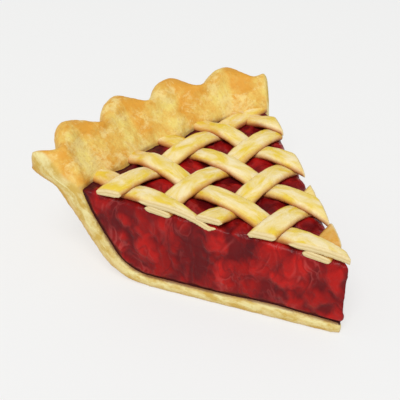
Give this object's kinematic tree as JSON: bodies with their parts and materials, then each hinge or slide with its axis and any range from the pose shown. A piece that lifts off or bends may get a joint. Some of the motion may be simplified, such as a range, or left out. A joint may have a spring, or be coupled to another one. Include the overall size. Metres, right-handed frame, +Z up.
{
  "type": "slice of cherry pie",
  "caption": "Cut wedge of deep-dish cherry pie: fluted crust shell, thick cherry filling and a woven lattice of dough strips on top.",
  "frame": {"origin": "centre of the slice's box in plan, on the surface it stands on", "axes": "+Z up; +Y along the slice's middle line from its tip to the fluted rim; +X to the right seen from the tip"},
  "size_m": [0.1206, 0.1268, 0.057],
  "materials": {
    "baked_crust": null,
    "baked_strip": null,
    "cherry_gel": null
  },
  "bodies": {
    "root": {"crust": "baked_crust", "filling": "cherry_gel", "long_strip_1": "baked_strip", "long_strip_2": "baked_strip", "long_strip_3": "baked_strip", "long_strip_4": "baked_strip", "long_strip_5": "baked_strip", "cross_strip_1": "baked_strip", "cross_strip_2": "baked_strip", "cross_strip_3": "baked_strip", "cross_strip_4": "baked_strip", "cross_strip_5": "baked_strip"}
  },
  "joints": []
}
